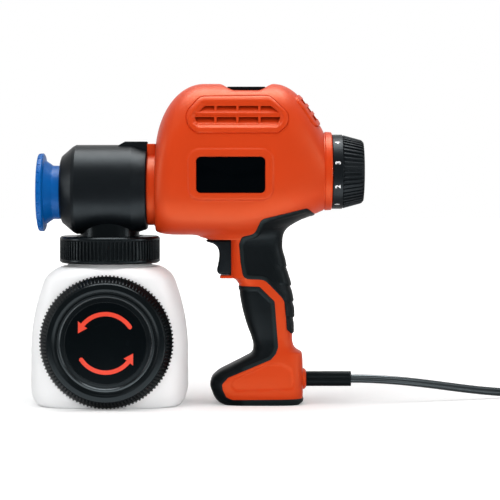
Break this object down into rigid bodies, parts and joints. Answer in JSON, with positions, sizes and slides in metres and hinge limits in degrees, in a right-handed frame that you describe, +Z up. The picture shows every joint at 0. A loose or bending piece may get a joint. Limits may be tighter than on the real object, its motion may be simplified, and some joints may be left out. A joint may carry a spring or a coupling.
{
  "type": "airless paint sprayer",
  "caption": "Hand-held airless paint sprayer with a pistol grip, pump head and blue spray tip over a side-filled paint container, a flow knob, trigger and mains cord.",
  "frame": {"origin": "centre of the container's foot, on the bench", "axes": "+X from the spray tip to the flow knob, +Y to the tool's right, +Z up"},
  "size_m": [0.57, 0.1095, 0.287],
  "materials": {
    "orange_plastic": "moulded satin",
    "soft_grip": "matte soft touch",
    "badge_black": "gloss",
    "black_plastic": "moulded satin",
    "blue_plastic": "moulded satin",
    "natural_bottle": "milky satin",
    "white_plastic": "moulded",
    "seal_rubber": "matte",
    "steel": "ground",
    "core_steel": "stacked sheet",
    "copper_wire": "enamelled",
    "brass": "turned",
    "switch_plastic": "moulded",
    "cord_vinyl": "satin vinyl"
  },
  "bodies": {
    "gun": {"housing_left": "orange_plastic", "housing_right": "orange_plastic", "grip_upper_left": "soft_grip", "grip_upper_right": "soft_grip", "grip_lower_left": "soft_grip", "grip_lower_right": "soft_grip", "top_pad": "soft_grip", "badge_plate": "badge_black", "housing_screws": "steel", "front_collar": "orange_plastic", "rear_collar": "orange_plastic", "flow_nut": "brass", "pump_housing": "black_plastic", "pump_cylinder": "steel", "suction_tube": "white_plastic", "intake_filter": "white_plastic", "container_seal": "seal_rubber", "core_stack": "core_steel", "coil_bobbin": "white_plastic", "coil_winding": "copper_wire", "motor_frame": "steel", "armature_pin": "steel", "switch_body": "switch_plastic", "trigger_spring": "steel", "piston_spring": "steel", "cord_guard": "cord_vinyl", "cord": "cord_vinyl", "cord_coil": "cord_vinyl", "cord_tie": "cord_vinyl", "plug_body": "cord_vinyl", "plug_blades": "brass"},
    "trigger": {"trigger": "black_plastic", "switch_plunger": "switch_plastic"},
    "knob": {"control_knob": "black_plastic"},
    "flow_stem": {"flow_screw": "steel"},
    "armature": {"armature": "steel"},
    "piston": {"piston": "steel", "spring_retainer": "steel"},
    "spray_tip": {"spray_tip": "blue_plastic", "tip_insert": "steel", "atomizer_valve": "white_plastic"},
    "ring": {"container_ring": "black_plastic"},
    "container": {"container": "natural_bottle"},
    "lid_seal": {"lid_seal": "seal_rubber"},
    "lid": {"side_lid": "black_plastic"}
  },
  "joints": [
    {"name": "trigger_pull", "type": "slide", "parent": "gun", "child": "trigger", "axis": [1, 0, 0], "range_m": [0, 0.006], "stiffness_N_per_m": 600, "springref_m": -0.004, "deforming": ["trigger_spring"]},
    {"name": "knob_turn", "type": "hinge", "parent": "gun", "child": "knob", "pos_m": [0.2, 0, 0.2085], "axis": [1, 0, 0], "range_deg": [0, 270]},
    {"name": "flow_slide", "type": "slide", "parent": "knob", "child": "flow_stem", "axis": [1, 0, 0], "range_m": [0, 0.00125]},
    {"name": "armature_swing", "type": "hinge", "parent": "gun", "child": "armature", "pos_m": [0.1044, 0, 0.267], "axis": [0, 1, 0], "range_deg": [0, 2.8], "stiffness_Nm_per_rad": 2, "springref_deg": -1.72},
    {"name": "piston_stroke", "type": "slide", "parent": "gun", "child": "piston", "axis": [-1, 0, 0], "range_m": [0, 0.004], "deforming": ["piston_spring"]},
    {"name": "tip_turn", "type": "hinge", "parent": "gun", "child": "spray_tip", "pos_m": [-0.05, 0, 0.19], "axis": [1, 0, 0], "range_deg": [0, 90]},
    {"name": "ring_turn", "type": "hinge", "parent": "gun", "child": "ring", "pos_m": [0, 0, 0.139], "axis": [0, 0, 1], "range_deg": [0, 540]},
    {"name": "container_drop", "type": "slide", "parent": "gun", "child": "container", "axis": [0, 0, -1], "range_m": [0, 0.0151]},
    {"name": "lid_out", "type": "slide", "parent": "container", "child": "lid_seal", "axis": [0, -1, 0], "range_m": [0, 0.0114]},
    {"name": "lid_turn", "type": "hinge", "parent": "lid_seal", "child": "lid", "pos_m": [0, -0.053, 0.0591], "axis": [0, -1, 0], "range_deg": [0, 450]}
  ],
  "couplings": [
    {"joint": "flow_slide", "follows": "knob_turn", "m_per_rad": 0.00025465},
    {"joint": "piston_stroke", "follows": "armature_swing", "m_per_rad": 0.077},
    {"joint": "container_drop", "follows": "ring_turn", "m_per_rad": 0.0015915},
    {"joint": "lid_out", "follows": "lid_turn", "m_per_rad": 0.0014324}
  ]
}
